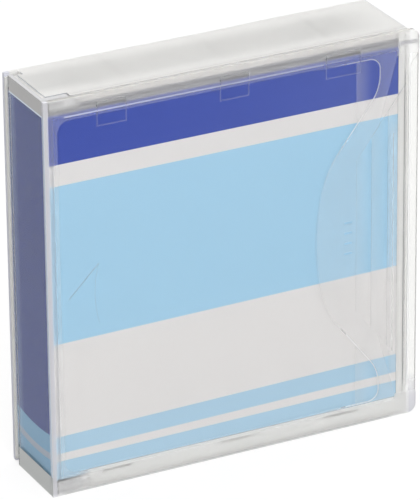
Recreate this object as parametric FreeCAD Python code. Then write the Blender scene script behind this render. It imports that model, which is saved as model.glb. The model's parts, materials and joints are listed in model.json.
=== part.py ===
import FreeCAD, Part
import os
from math import acos, asin, atan2, cos, degrees, pi, radians, sin, sqrt, tan

# A data tape cartridge in its hinged clear storage case, with the folded inlay card in the lid.
# Millimetres. The case stands upright on its long edge, as on a shelf: +Z up, the lid's pane
# towards -Y, the spine (the hinge side) towards -X. Everything is built from the case's lower
# left front corner and set down at the end with the origin at the middle of its foot.

V = FreeCAD.Vector

# ---------------------------------------------------------------- the case: driving sizes
tray_wall = 1.2
back_wall = 1.1
pane_wall = 1.3
spine_wall = 1.2
lip_reach = 2.3            # how far the pane stands out past the tray, for a finger
lip_corner_r = 2.5
outer_corner_r = 0.8
part_gap = 0.3             # between lid and tray where they pass each other
over = 1.0                 # how far a cut runs past the face that it opens
end_play = 0.6             # from the cartridge's rear edge to the tray's wall
front_play = 0.25          # from the cartridge to the hooks that hold the card
head_room = 2.8            # above the cartridge, where the upper ribs hang
slide_gap = 0.15           # running clearance of the small sliders
hinge_x = 2.4              # pivot line, in from the spine's outer face
spine_tail = 1.2           # how far the spine wall reaches behind the pivot line
stud_r = 0.8
stud_fit = 0.05
ear_wall = 1.0
ear_r = 1.9
ear_web = 7.4              # how wide the ear's thin web is where it meets the pane
ear_root = 9.8             # the ear's arched root, from the spine's outer face
ear_root_deep = 2.2
ear_root_r = 2.3
back_bead_wide = 1.0
back_bead_deep = 0.8
top_step = 0.3             # the step along the back and the spine side of the outer walls
top_step_wide = 2.8        # at the back it tapers away towards the rear end
top_step_long = 75.0
top_step_left = 2.35
top_step_r = 2.0
rib_high = 2.4             # what the cartridge stands on
rib_wall = 1.2
rib_front = 6.0            # the ribs stop short of the pane
rib_places = (0.22, 0.5, 0.8)
mouth_lip_back = 0.3       # a thin inner lip just behind the tray's front edge, on three sides
mouth_lip_wall = 0.35
mouth_lip_lap = 1.0        # how far it laps over the cartridge's rear end
mouth_lip_room = 1.0       # from the hinge ear's root to where it starts

# the pane's moulded face: what ends in _left is measured from the spine's outer face, and what
# ends in _inset from the lip's free edge
window_margin = 6.4        # clear window, in from the pane's top and bottom
window_left = 4.1
window_inset = 11.9
window_deep = 0.15
window_corner_r = 3.0
window_ledge = 0.35        # the fine ledge round the window's edge
window_ledge_deep = 0.11
frame_step_margin = 5.0
frame_step_left = 2.6
frame_step_inset = 6.7
frame_step_deep = 0.06
dip_inset = 31.1           # the window's edge swings in round the finger recess
dip_middle_r = 64.0
dip_middle_half = 15.0
dip_shoulder_r = 28.0
dip_slant = radians(38)
dip_blend_r = 11.8
dip_band = 6.3             # width of the sloped band inside the swing
scoop_inset = 18.8
scoop_half = 22.1
scoop_end_inset = 3.7
scoop_steps = (0.0, 4.7, 9.7)
scoop_step_deep = 0.15
field_bend = 6.8           # the first terrace runs on above and below, steeper from here
field_slant = radians(16)
field_margin = 6.7
grip_bar_inset = 22.5
grip_bar_long = 2.5
grip_bar_wide = 0.7
grip_bar_pitch = 3.0
grip_bar_count = 4
lip_groove_deep = 0.25
lip_groove_margin = 6.0
arrow_tip_x = 6.0
arrow_long = 8.7
arrow_half = 8.5
arrow_bulge = 1.2
hook_left = 15.0           # the hooks that hold the card, three along each long edge
hook_long = 8.6
middle_hook_shift = 0.1    # the middle one is this far towards the spine from the pane's middle
end_hook_inset = 28.1
end_hook_long = 10.5
hook_reach = 3.6           # how far each hook laps over the card
hook_wall = 0.55
hook_mark_below = 5.1      # each hook's outline on the pane, from the card's edge
hook_mark_above = 1.9
fine_line = 0.28           # the fine grooves of the pane's outer face
fine_line_deep = 0.21
step_line_left = 5.8
step_line_gap = 0.6

# the folded inlay card
card_thick = 0.2
card_gap = 0.05
card_margin = 4.3          # from the case's top and bottom to the card's edge
card_end_play = 2.3        # from the card's free edge to the tray's wall

# ---------------------------------------------------------------- the cartridge: driving sizes
cart_long = 102.0
cart_wide = 105.4
cart_thick = 21.5
shell_wall = 1.6
shell_corner_r = 2.5
shell_edge = 0.8
post_r = 3.0
post_inset = 8.0
door_post_along = 24.0
screw_r = 1.0
screw_head_r = 2.2
screw_head_deep = 1.3
screw_bite = 8.0
screw_play = 0.05
round_side_count = 8       # sides of the posts, shanks and legs that are hidden inside
head_side_count = 12       # sides of the small screws' heads

tape_width = 12.65
tape_room = 1.8            # from the wound tape to the flanges' edge
reel_room = 1.4            # from the flanges' edge to the shell's wall
flange_wall = 1.1
flange_gap = 0.12
hub_r = 22.0
hub_bore_r = 17.0
hub_floor = 1.7
hub_floor_lap = 0.4        # the floor's disc is this much wider than the bore
hub_window_room = 1.2
drive_ring_wide = 4.0
drive_tooth_count = 24
drive_tooth_inset = 0.3
drive_tooth_high = 1.0
brake_play = 0.6           # between the brake's disc and the hub's bore
brake_ring_wide = 3.0
brake_ring_inset = 0.2
brake_tooth_count = 24
brake_tooth_high = 1.2
tooth_play = 0.08
brake_disc_wall = 1.8
brake_lift = 1.8
brake_tube_r = 7.0
brake_tube_long = 5.0
brake_spring_turn_count = 4
key_arm = 3.8
key_wall = 1.6
plate_in_r = 5.0
plate_play = 0.6           # between the chucking plate and the drive teeth
plate_wall = 1.0
pad_r = 6.0
pad_leg_r = 1.3
pad_leg_at = 9.8
pad_leg_play = 0.3
pad_play = 0.15

door_start = 2.4           # in from the leading edge
door_long = 16.0
door_wall = 1.4
door_travel = 11.0
door_margin = 2.4          # from the shells' faces to the door's long edges
door_channel_deep = 2.1
door_lip = 0.35
door_lip_lap = 0.8
door_ridge_inset = 2.0
door_mouth_start = 4.2
door_mouth_long = 11.8
door_mouth_margin = 3.6
door_spring_r = 1.35
door_spring_wire_r = 0.22
door_spring_turn_count = 6
spring_run_count = 8       # straight runs in each turn of a spring
spring_side_count = 5

pin_along = 9.0
pin_from_side = 8.9
pin_r = 1.3
pin_collar_r = 2.0
pin_collar_long = 1.0
pin_end_gap = 0.3
cup_wall = 0.9
cup_deep = 1.2
clamp_wall = 0.5
leader_thick = 0.12
clip_wire_r = 0.35
clip_post_r = 0.9

tab_window_long = 10.0
tab_window_high = 5.4
tab_window_from_side = 10.0
tab_window_from_split = 1.4
tab_travel = 4.0
tab_body_wall = 2.1
tab_rail_wall = 1.0

chip_long = 10.5
chip_wide = 5.6
chip_wall = 0.8
chip_from_rear = 12.4
chip_rib_wall = 1.0

label_deep = 0.3
label_margin = 3.2
panel_margin = 12.0
panel_corner_r = 5.0
groove_count = 5
groove_pitch = 2.6
groove_wide = 1.2
groove_deep = 0.5
groove_from_rear = 6.0
notch_long = 6.5
notch_deep = 2.0
notch_wall = 1.3
notch_from_rear = 25.5
guide_notch = 3.0

# ---------------------------------------------------------------- places worked out from them
cart_x0 = hinge_x + spine_tail + part_gap
cart_x1 = cart_x0 + cart_long
cart_y0 = pane_wall + 2 * card_gap + card_thick + hook_wall + front_play
cart_y1 = cart_y0 + cart_thick
cart_z0 = tray_wall + rib_high
cart_z1 = cart_z0 + cart_wide

case_height = cart_z1 + head_room + tray_wall
case_depth = cart_y1 + back_wall
tray_width = cart_x1 + end_play + tray_wall
overall_width = tray_width + lip_reach
middle_z = case_height / 2
tray_front = pane_wall + part_gap
tray_left = spine_wall + part_gap
tray_inner_right = tray_width - tray_wall
back_inner = case_depth - back_wall
hinge_y = back_inner - back_bead_deep - part_gap - hinge_x
spine_end = hinge_y + spine_tail
ear_top = case_height - tray_wall - part_gap

window_right = overall_width - window_inset
dip_left = overall_width - dip_inset
scoop_left = overall_width - scoop_inset
scoop_right = overall_width - scoop_end_inset
card_right = tray_inner_right - card_end_play
card_top = case_height - card_margin
middle_hook = (overall_width - hook_long) / 2 - middle_hook_shift
end_hook = overall_width - end_hook_inset
hook_spans = ((hook_left, hook_left + hook_long), (middle_hook, middle_hook + hook_long),
              (end_hook, end_hook + end_hook_long))

split_y = cart_y0 + cart_thick / 2
reel_x = cart_x0 + cart_long / 2
reel_z = cart_z0 + cart_wide / 2
flange_r = min(cart_long, cart_wide) / 2 - shell_wall - reel_room
tape_outer_r = flange_r - tape_room
drive_ring_out_r = hub_bore_r + hub_floor_lap
drive_ring_in_r = drive_ring_out_r - drive_ring_wide
hub_window_r = drive_ring_out_r + hub_window_room
plate_out_r = drive_ring_in_r - plate_play
brake_disc_r = hub_bore_r - brake_play
brake_ring_out_r = brake_disc_r - brake_ring_inset
brake_ring_in_r = brake_ring_out_r - brake_ring_wide
upper_inner = cart_y0 + shell_wall
lower_inner = cart_y1 - shell_wall
low_flange_y1 = lower_inner - part_gap
low_flange_y0 = low_flange_y1 - flange_wall
tape_y1 = low_flange_y0 - flange_gap
tape_y0 = tape_y1 - tape_width
flange_y0 = tape_y0 - flange_gap - flange_wall
hub_floor_y1 = low_flange_y0 + hub_floor
plate_y1 = hub_floor_y1 + plate_wall
brake_y1 = low_flange_y0 - brake_tooth_high - tooth_play
brake_y0 = brake_y1 - brake_disc_wall
pad_y1 = low_flange_y0 - pad_play
pad_y0 = brake_y1 + tooth_play
notch_x1 = cart_x1 - notch_from_rear
channel_z = cart_z1 - door_channel_deep
door_z0 = channel_z + slide_gap
door_z1 = door_z0 + door_wall
door_x0 = cart_x0 + door_start
door_x1 = door_x0 + door_long
door_y0 = cart_y0 + door_margin
door_y1 = cart_y1 - door_margin
pin_x = cart_x0 + pin_along
pin_z = cart_z1 - pin_from_side


# ---------------------------------------------------------------- small shape helpers
def box(x0, x1, y0, y1, z0, z1):
    return Part.makeBox(x1 - x0, y1 - y0, z1 - z0, V(x0, y0, z0))


def rod_y(radius, x, z, y0, y1):
    return Part.makeCylinder(radius, y1 - y0, V(x, y0, z), V(0, 1, 0))


def rod_z(radius, x, y, z0, z1):
    return Part.makeCylinder(radius, z1 - z0, V(x, y, z0), V(0, 0, 1))


def ring_y(outer, inner, x, z, y0, y1):
    return rod_y(outer, x, z, y0, y1).cut(rod_y(inner, x, z, y0, y1))


def flat_rod_y(radius, x, z, y0, y1, side_count=round_side_count):
    """A many-sided rod for a small round that is hidden inside, radius being over its corners."""
    turns = [2 * pi * number / side_count for number in range(side_count)]
    return plate_xz([(x + radius * cos(turn), z + radius * sin(turn)) for turn in turns], y0, y1)


def clean(shape):
    return shape.removeSplitter()


def round_edges(shape, radius, chosen):
    edges = [e for e in shape.Edges if chosen(e)]
    return shape.makeFillet(radius, edges) if edges else shape


def along_y(edge):
    a, b = edge.Vertexes[0].Point, edge.Vertexes[-1].Point
    return abs(a.x - b.x) < 1e-6 and abs(a.z - b.z) < 1e-6


def plate_xz(corners, y0, y1):
    """A flat plate with straight edges: corners are (x, z), its faces at y0 and y1."""
    points = [V(x, y0, z) for x, z in corners]
    face = Part.Face(Part.makePolygon(points + points[:1]))
    return face.extrude(V(0, y1 - y0, 0))


def plate_xy(corners, z0, z1):
    points = [V(x, y, z0) for x, y in corners]
    face = Part.Face(Part.makePolygon(points + points[:1]))
    return face.extrude(V(0, 0, z1 - z0))


def rounded_plate(x0, x1, z0, z1, y0, y1, radius):
    return round_edges(box(x0, x1, y0, y1, z0, z1), radius, along_y)


def both_ends(shape):
    """The shape at the case's top, and its mirror image at the bottom."""
    return [shape, shape.mirror(V(0, 0, middle_z), V(0, 0, 1))]


def trace(start, heading, runs, y):
    """Tangent lines and arcs in the XZ plane. A run is (length, None) for a line or
    (radius, turn) for an arc, whose turn is positive to the left. Returns edges and the end."""
    edges, at, head = [], V(start[0], y, start[1]), heading
    for size, turn in runs:
        if turn is None:
            to = at + V(cos(head), 0, sin(head)) * size
            edges.append(Part.LineSegment(at, to).toShape())
        else:
            side = head + (pi / 2 if turn > 0 else -pi / 2)
            centre = at + V(cos(side), 0, sin(side)) * size
            spoke = side + pi
            middle, end = spoke + turn / 2, spoke + turn
            via = centre + V(cos(middle), 0, sin(middle)) * size
            to = centre + V(cos(end), 0, sin(end)) * size
            edges.append(Part.Arc(at, via, to).toShape())
            head += turn
        at = to
    return edges, at


def mirrored_face(edges):
    """Closes the upper half of an outline with its mirror image in the case's middle height."""
    lower = [e.mirror(V(0, 0, middle_z), V(0, 0, 1)) for e in edges]
    ordered = Part.__sortEdges__(edges + lower)
    return Part.Face(Part.Wire(ordered))


def wire_along(points, wire_r):
    """A solid wire along straight runs, mitred where they meet, with a many-sided section."""
    heading = (points[1] - points[0]).normalize()
    turned = FreeCAD.Rotation(V(0, 0, 1), heading)
    ring = []
    for number in range(spring_side_count):
        angle = 2 * pi * number / spring_side_count
        ring.append(points[0] + turned.multVec(V(wire_r * cos(angle), wire_r * sin(angle), 0)))
    section = Part.makePolygon(ring + ring[:1])
    return Part.makePolygon(points).makePipeShell([section], True, False, 1)


def spring(radius, wire_r, length, turn_count, start, axis):
    """A compression spring from start along axis, its ends inside the length."""
    rise = length - 2 * wire_r
    turned = FreeCAD.Rotation(V(0, 0, 1), axis)
    steps = turn_count * spring_run_count
    points = []
    for number in range(steps + 1):
        angle = 2 * pi * number / spring_run_count
        local = V(radius * cos(angle), radius * sin(angle), wire_r + rise * number / steps)
        points.append(start + turned.multVec(local))
    return wire_along(points, wire_r)


def flat_solid(ring_a, ring_b):
    """A solid with flat faces between two loops that have the same number of corners."""
    outlines = [ring_a, ring_b]
    for number in range(len(ring_a)):
        outlines.append([ring_a[number - 1], ring_a[number], ring_b[number], ring_b[number - 1]])
    faces = [Part.Face(Part.makePolygon(ring + ring[:1])) for ring in outlines]
    solid = Part.makeSolid(Part.makeShell(faces))
    if solid.Volume < 0:
        solid.reverse()
    return solid


def face_teeth(inner_r, outer_r, count, root_y, high, towards, share):
    """A ring of radial teeth standing on the plane root_y. towards is +1 or -1 along Y, and share
    is each tooth's part of the pitch at its root. Its flanks are flat, and at its inner end the
    crest is half as wide as the root."""
    pitch = 2 * pi / count
    flank = inner_r * pitch * share / 4
    tooth_in, tooth_out = [], []
    for radius, ring in ((inner_r, tooth_in), (outer_r, tooth_out)):
        half = radius * pitch * share / 2
        ring.extend([V(radius, 0, -half), V(radius, high * towards, flank - half),
                     V(radius, high * towards, half - flank), V(radius, 0, half)])
    tooth = flat_solid(tooth_in, tooth_out)
    teeth = []
    for number in range(count):
        one = tooth.copy()
        one.rotate(V(0, 0, 0), V(0, 1, 0), degrees(pitch) * number)
        one.translate(V(reel_x, root_y, reel_z))
        teeth.append(one)
    return teeth


# ---------------------------------------------------------------- the clear case
def window_face(grow):
    """The clear window: a rounded rectangle whose right edge swings round the finger recess. Its
    outline is moved outwards by grow."""
    lean = asin(dip_middle_half / dip_middle_r)
    shoulder = dip_slant - lean
    blend_across = dip_blend_r * (1 - cos(dip_slant))
    arcs_across = dip_middle_r * (1 - cos(lean)) + dip_shoulder_r * (cos(lean) - cos(dip_slant))
    slant_long = (window_right - dip_left - arcs_across - blend_across) / sin(dip_slant)
    arcs_up = dip_middle_half + dip_shoulder_r * (sin(dip_slant) - sin(lean))
    dip_up = arcs_up + slant_long * cos(dip_slant) + dip_blend_r * sin(dip_slant)
    half = middle_z - window_margin
    corner = (window_corner_r + grow, pi / 2)
    runs = [(dip_middle_r - grow, -lean), (dip_shoulder_r - grow, -shoulder), (slant_long, None),
            (dip_blend_r + grow, dip_slant), (half - dip_up - window_corner_r, None),
            corner, (window_right - window_left - 2 * window_corner_r, None),
            corner, (half - window_corner_r, None)]
    edges, _ = trace((dip_left + grow, middle_z), pi / 2, runs, 0)
    return mirrored_face(edges)


def dip_band_face(y):
    """The crescent between the window's swing and a second, parallel curve inside it."""
    swing = [(dip_middle_r, -asin(dip_middle_half / dip_middle_r))]
    outer, outer_top = trace((dip_left, middle_z), pi / 2, swing, y)
    inner, inner_top = trace((dip_left + dip_band, middle_z), pi / 2, swing, y)
    across = Part.LineSegment(outer_top, inner_top).toShape()
    return mirrored_face(outer + inner + [across])


def scoop_half_at(x):
    return scoop_half + (x - scoop_left) / tan(dip_slant)


def scoop_plate(upper, deep):
    """A terrace of the finger scoop. upper gives its upper corners from left to right, each as x
    and the height above the case's middle."""
    lower = [(x, middle_z - half) for x, half in reversed(upper)]
    return plate_xz([(x, middle_z + half) for x, half in upper] + lower, 0, deep)


def scoop_terraces():
    """The first terrace runs on as a polished field to the frame's corners. The others have plain
    slanted ends."""
    bend_x = scoop_left + field_bend
    bend_half, end_half = scoop_half_at(bend_x), middle_z - field_margin
    end_x = bend_x + (end_half - bend_half) * tan(field_slant)
    terraces = [scoop_plate([(scoop_left, scoop_half), (bend_x, bend_half), (end_x, end_half),
                             (scoop_right, end_half)], scoop_step_deep)]
    for number, inward in enumerate(scoop_steps[1:], 2):
        left = scoop_left + inward
        terraces.append(scoop_plate([(left, scoop_half_at(left)),
                                     (scoop_right, scoop_half_at(scoop_right))],
                                    scoop_step_deep * number))
    return terraces


def arrow():
    """The moulded arrow that points at the hinge: a triangle whose back edge is bowed in."""
    tip = V(arrow_tip_x, 0, middle_z)
    top = V(arrow_tip_x + arrow_long, 0, middle_z + arrow_half)
    bottom = V(arrow_tip_x + arrow_long, 0, middle_z - arrow_half)
    bowed = V(arrow_tip_x + arrow_long - arrow_bulge, 0, middle_z)
    edges = [Part.LineSegment(tip, top).toShape(), Part.Arc(top, bowed, bottom).toShape(),
             Part.LineSegment(bottom, tip).toShape()]
    return Part.Face(Part.Wire(edges)).extrude(V(0, window_deep, 0))


def lip_groove():
    """The shallow step that sets the lip off from the pane, with an S-bend at each end."""
    s_turn = radians(50)
    bend = lip_reach / 2 / (1 - cos(s_turn))
    half = middle_z - lip_groove_margin - 2 * bend * sin(s_turn)
    inner, end = trace((tray_width - lip_groove_deep, middle_z), pi / 2,
                       [(half, None), (bend, -s_turn), (bend, s_turn)], 0)
    outer_x = overall_width + over
    across = Part.LineSegment(end, V(outer_x, 0, end.z)).toShape()
    side = Part.LineSegment(V(outer_x, 0, end.z), V(outer_x, 0, middle_z)).toShape()
    return mirrored_face(inner + [across, side]).extrude(V(0, lip_groove_deep, 0))


def ear_root_block(grow):
    """The hinge ear's arched root, which stands up in a notch of the tray's wall."""
    right, top = ear_root + grow, case_height - window_deep + grow
    block = box(spine_wall, right, pane_wall, pane_wall + ear_root_deep + grow,
                ear_top - ear_wall - grow, top)
    return round_edges(block, ear_root_r + grow, lambda e: along_y(e)
                       and e.Vertexes[0].X > right - over and e.Vertexes[0].Z > top - over)


def hinge_ear():
    """One ear of the lid: a thin web along the spine that ends in an eye round the stud."""
    z0, z1 = ear_top - ear_wall, ear_top
    web = plate_xy([(spine_wall, pane_wall), (ear_web, pane_wall),
                    (hinge_x + ear_r, hinge_y - ear_r), (hinge_x + ear_r, hinge_y),
                    (spine_wall, hinge_y)], z0, z1)
    eye = rod_z(ear_r, hinge_x, hinge_y, z0, z1)
    eye = eye.cut(box(-over, spine_wall / 2, hinge_y - ear_r - over, hinge_y + ear_r + over, z0, z1))
    hole = rod_z(stud_r + stud_fit, hinge_x, hinge_y, z0, z1)
    return web.fuse([eye, ear_root_block(0)]).cut(hole)


def card_hook(x0, x1):
    """One hook that holds the card against the pane: a foot past the card's edge and a lap."""
    foot_z0 = card_top + card_gap
    hook_y0 = pane_wall + 2 * card_gap + card_thick
    foot = box(x0, x1, pane_wall, hook_y0 + hook_wall, foot_z0, foot_z0 + hook_wall)
    lap = box(x0, x1, hook_y0, hook_y0 + hook_wall, card_top - hook_reach, foot_z0 + hook_wall)
    return foot.fuse(lap)


def hook_mark(x0, x1):
    """The fine outline that each upper hook leaves on the pane's outer face."""
    z0, z1 = card_top - hook_mark_below, card_top + hook_mark_above
    whole = box(x0, x1, 0, fine_line_deep, z0, z1)
    return whole.cut(box(x0 + fine_line, x1 - fine_line, 0, fine_line_deep,
                         z0 + fine_line, z1 - fine_line))


def step_lines():
    """The fine line along the frame's upper step, which stops on each side of the end hook."""
    z1 = case_height - frame_step_margin
    (_, _), (_, _), (gap_x0, gap_x1) = hook_spans
    spans = ((step_line_left, gap_x0 - step_line_gap),
             (gap_x1 + step_line_gap, overall_width - frame_step_inset))
    return [box(x0, x1, 0, fine_line_deep, z1 - fine_line, z1) for x0, x1 in spans]


def case_lid():
    pane = rounded_plate(0, overall_width, 0, case_height, 0, pane_wall, outer_corner_r)
    lip_end = box(overall_width - lip_corner_r, overall_width + over, 0, pane_wall,
                  -over, case_height + over)
    lip_end = lip_end.cut(rounded_plate(0, overall_width, 0, case_height, 0, pane_wall, lip_corner_r))
    pane = pane.cut(lip_end)
    step = box(frame_step_left, overall_width - frame_step_inset, 0, frame_step_deep,
               frame_step_margin, case_height - frame_step_margin)
    window = window_face(0).extrude(V(0, window_deep, 0))
    ledge = window_face(window_ledge).extrude(V(0, window_ledge_deep, 0))
    band = dip_band_face(0).extrude(V(0, window_deep / 2, 0))
    cuts = [step, window, ledge, band, lip_groove()] + step_lines() + scoop_terraces()
    cuts.extend(hook_mark(*span) for span in hook_spans)
    pane = pane.cut(cuts)
    spine = box(0, spine_wall, 0, spine_end, 0, case_height)
    adds = [spine, arrow()]
    adds.extend(both_ends(hinge_ear()))
    for span in hook_spans:
        adds.extend(both_ends(card_hook(*span)))
    first_bar = middle_z - grip_bar_pitch * (grip_bar_count - 1) / 2 - grip_bar_wide / 2
    bar_left = overall_width - grip_bar_inset
    for number in range(grip_bar_count):
        low = first_bar + grip_bar_pitch * number
        adds.append(box(bar_left, bar_left + grip_bar_long, 0, window_deep, low, low + grip_bar_wide))
    return clean(pane.fuse(adds))


def tray_end_room():
    """What is cut from the tray's top wall: room for the spine wall's tail, and the ear's notch."""
    z0, z1 = case_height - tray_wall, case_height
    tail_room = box(0, cart_x0, hinge_y, back_inner, z0, z1)
    return tail_room.fuse(ear_root_block(part_gap))


def tray_end_fittings():
    """The neck and stud that the lid's ear turns on, and the ribs that steady the cartridge."""
    z1 = case_height
    neck = rod_z(hinge_x - tray_left, hinge_x, hinge_y, z1 - tray_wall, z1)
    stud = rod_z(stud_r, hinge_x, hinge_y, ear_top - ear_wall - part_gap / 2, z1 - tray_wall / 2)
    return [neck, stud]


def cartridge_ribs(z0, z1):
    ribs = []
    for share in rib_places:
        x = cart_x0 + cart_long * share
        ribs.append(box(x, x + rib_wall, rib_front, back_inner, z0, z1))
    return ribs


def mouth_lip():
    """The thin inner lip of the tray's mouth, along its upper and lower wall and its end wall."""
    y0 = tray_front + mouth_lip_back
    y1 = y0 + mouth_lip_wall
    high_z0 = card_top + card_gap + hook_wall + part_gap
    rail = box(ear_root + mouth_lip_room, tray_inner_right + tray_wall / 2, y0, y1,
               high_z0, case_height - tray_wall / 2)
    post = box(cart_x1 - mouth_lip_lap, tray_inner_right + tray_wall / 2, y0, y1,
               tray_wall / 2, case_height - tray_wall / 2)
    return both_ends(rail) + [post]


def case_tray():
    back = rounded_plate(0, tray_width, 0, case_height, back_inner, case_depth, outer_corner_r)
    walls = rounded_plate(-tray_left, tray_width, 0, case_height, tray_front, back_inner, outer_corner_r)
    inside = box(-tray_left - over, tray_inner_right, tray_front, back_inner,
                 tray_wall, case_height - tray_wall)
    beside = box(-tray_left - over, tray_left, tray_front, back_inner, 0, case_height)
    walls = walls.cut([inside, beside] + both_ends(tray_end_room()))
    bead = box(0, back_bead_wide, back_inner - back_bead_deep, back_inner + back_wall / 2,
               tray_wall, case_height - tray_wall)
    adds = [walls, bead] + mouth_lip()
    for fitting in tray_end_fittings():
        adds.extend(both_ends(fitting))
    adds.extend(cartridge_ribs(cart_z1 + part_gap, case_height - tray_wall / 2))
    adds.extend(cartridge_ribs(tray_wall / 2, cart_z0))
    step_y = case_depth - top_step_wide
    wedge = plate_xy([(-over, -over), (top_step_left, -over), (top_step_left, step_y),
                      (cart_x0 + top_step_long, case_depth),
                      (cart_x0 + top_step_long, case_depth + over), (-over, case_depth + over)],
                     case_height - top_step, case_height + over)
    wedge = round_edges(wedge, top_step_r, lambda e: all(
        abs(v.X - top_step_left) < 1e-6 and abs(v.Y - step_y) < 1e-6 for v in e.Vertexes))
    return clean(back.fuse(adds).cut(both_ends(wedge)))


def inlay_card():
    z0, z1 = card_margin, card_top
    near = pane_wall + card_gap
    left = spine_wall + card_gap
    front = box(left, card_right, near, near + card_thick, z0, z1)
    spine = box(left, left + card_thick, near, spine_end - part_gap, z0, z1)
    return clean(front.fuse(spine))


# ---------------------------------------------------------------- the cartridge's two shells
def post_places():
    """The four screws: one in each corner, the one by the door moved back past its travel."""
    low_z, high_z = cart_z0 + post_inset, cart_z1 - post_inset
    near_x, far_x = cart_x0 + post_inset, cart_x1 - post_inset
    return [(near_x, low_z), (far_x, low_z), (far_x, high_z), (cart_x0 + door_post_along, high_z)]


def shell_body(y0, y1, outer_y):
    """Half of the hollow housing between y0 and y1, with its large face at outer_y."""
    block = rounded_plate(cart_x0, cart_x1, cart_z0, cart_z1, y0, y1, shell_corner_r)
    rim = [e for e in block.Edges if all(abs(v.Y - outer_y) < 1e-6 for v in e.Vertexes)]
    block = block.makeChamfer(shell_edge, rim)
    inner_r = shell_corner_r - shell_wall
    hollow_y0 = y0 + shell_wall if outer_y == y0 else y0
    hollow_y1 = y1 - shell_wall if outer_y == y1 else y1
    hollow = rounded_plate(cart_x0 + shell_wall, cart_x1 - shell_wall, cart_z0 + shell_wall,
                           cart_z1 - shell_wall, hollow_y0, hollow_y1, inner_r)
    return block.cut(hollow)


def side_details(y0, y1):
    """What is cut into the housing's edges: finger grooves, gripper notches, the insertion guide."""
    cuts = []
    for number in range(groove_count):
        x = cart_x1 - groove_from_rear - groove_pitch * number
        cuts.append(box(x - groove_wide, x, y0, y1, cart_z1 - groove_deep, cart_z1))
        cuts.append(box(x - groove_wide, x, y0, y1, cart_z0, cart_z0 + groove_deep))
    notch_x = notch_x1 - notch_long
    cuts.append(box(notch_x, notch_x1, y0, y1, cart_z1 - notch_deep, cart_z1))
    cuts.append(box(notch_x, notch_x1, y0, y1, cart_z0, cart_z0 + notch_deep))
    return cuts


def notch_backs(y0, y1):
    """The housing's wall goes round behind each gripper notch."""
    x0, x1 = notch_x1 - notch_long - notch_wall, notch_x1 + notch_wall
    deep = notch_deep + notch_wall
    return [box(x0, x1, y0, y1, cart_z1 - deep, cart_z1 - shell_wall / 2),
            box(x0, x1, y0, y1, cart_z0 + shell_wall / 2, cart_z0 + deep)]


def door_block(y0, y1):
    """The thicker wall that the door's channel is cut into."""
    x1 = door_x1 + door_travel + shell_wall + slide_gap
    return box(cart_x0 + shell_wall / 2, x1, y0, y1, channel_z - shell_wall, cart_z1 - shell_wall / 2)


def door_cuts():
    """The channel the door runs in, under two lips, its mouth to the inside, and the spring's bed."""
    end = door_x1 + door_travel + slide_gap
    start = door_x0 - slide_gap
    y0, y1 = door_y0 - slide_gap, door_y1 + slide_gap
    run = box(start, end, y0, y1, channel_z, cart_z1 - door_lip)
    slot = box(start, end, y0 + door_lip_lap, y1 - door_lip_lap, channel_z, cart_z1 + over)
    mouth_x = cart_x0 + door_mouth_start
    mouth = box(mouth_x, mouth_x + door_mouth_long, cart_y0 + door_mouth_margin,
                cart_y1 - door_mouth_margin, channel_z - 2 * shell_wall, channel_z)
    bed_half = door_spring_r + door_spring_wire_r + slide_gap
    bed = box(door_x1 - shell_wall, end, split_y - bed_half, split_y + bed_half,
              channel_z - bed_half, channel_z)
    return [run, slot, mouth, bed]


def pin_cup(y0, y1):
    """A half-round cup that the leader pin's end lies in, open towards the door."""
    inner_r = pin_collar_r + slide_gap
    outer = inner_r + cup_wall
    cup = box(pin_x - outer, pin_x + outer, y0, y1, pin_z - outer, pin_z)
    return cup.cut(rod_y(inner_r, pin_x, pin_z, y0, y1))


def clip_post_place():
    """The small post that the leader pin's wire clip leans on."""
    lean = clip_wire_r + clip_post_r
    x, z = clip_route()[0]
    return x + lean * cos(radians(45)), z - lean * sin(radians(45))


def clip_route():
    """The wire clip's arm, seen along the pin: from its back run, round past the pin's collar."""
    reach = pin_collar_r + clip_wire_r + slide_gap
    return [(pin_x + 2 * reach, pin_z - reach), (pin_x + 1.2 * reach, pin_z + reach * 0.75),
            (pin_x + 0.2 * reach, pin_z + 1.2 * reach)]


def upper_shell():
    y0, y1 = cart_y0, split_y
    shell = shell_body(y0, y1, y0)
    adds = notch_backs(y0 + shell_edge, y1) + [door_block(y0 + shell_edge, y1)]
    for x, z in post_places():
        adds.append(flat_rod_y(post_r, x, z, y0 + shell_wall / 2, y1))
    key_y1 = brake_y0 - brake_lift - part_gap
    adds.append(box(reel_x - key_arm, reel_x + key_arm, y0 + shell_wall / 2, key_y1,
                    reel_z - key_wall / 2, reel_z + key_wall / 2))
    adds.append(box(reel_x - key_wall / 2, reel_x + key_wall / 2, y0 + shell_wall / 2, key_y1,
                    reel_z - key_arm, reel_z + key_arm))
    adds.append(pin_cup(y0 + shell_wall / 2, upper_inner + cup_deep))
    post_x, post_z = clip_post_place()
    adds.append(flat_rod_y(clip_post_r, post_x, post_z, y0 + shell_wall / 2, y1))
    shell = shell.fuse(adds)
    cuts = side_details(y0, y1) + door_cuts()
    for x, z in post_places():
        cuts.append(flat_rod_y(screw_r, x, z, y1 - screw_bite, y1))
    cuts.append(box(cart_x1 - label_deep, cart_x1 + over, y0 + label_margin, y1,
                    cart_z0 + label_margin, cart_z1 - label_margin))
    cuts.append(rounded_plate(cart_x0 + panel_margin, cart_x1 - panel_margin, cart_z0 + panel_margin,
                              cart_z1 - panel_margin, y0 - over, y0 + label_deep, panel_corner_r))
    return clean(shell.cut(cuts))


def tab_window():
    """Where the write-protect tab shows in the rear edge: x0, x1, y0, y1, z0, z1."""
    z0 = cart_z0 + tab_window_from_side
    y0 = split_y + tab_window_from_split
    return (cart_x1 - shell_wall - over, cart_x1 + over, y0, y0 + tab_window_high,
            z0, z0 + tab_window_long)


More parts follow.
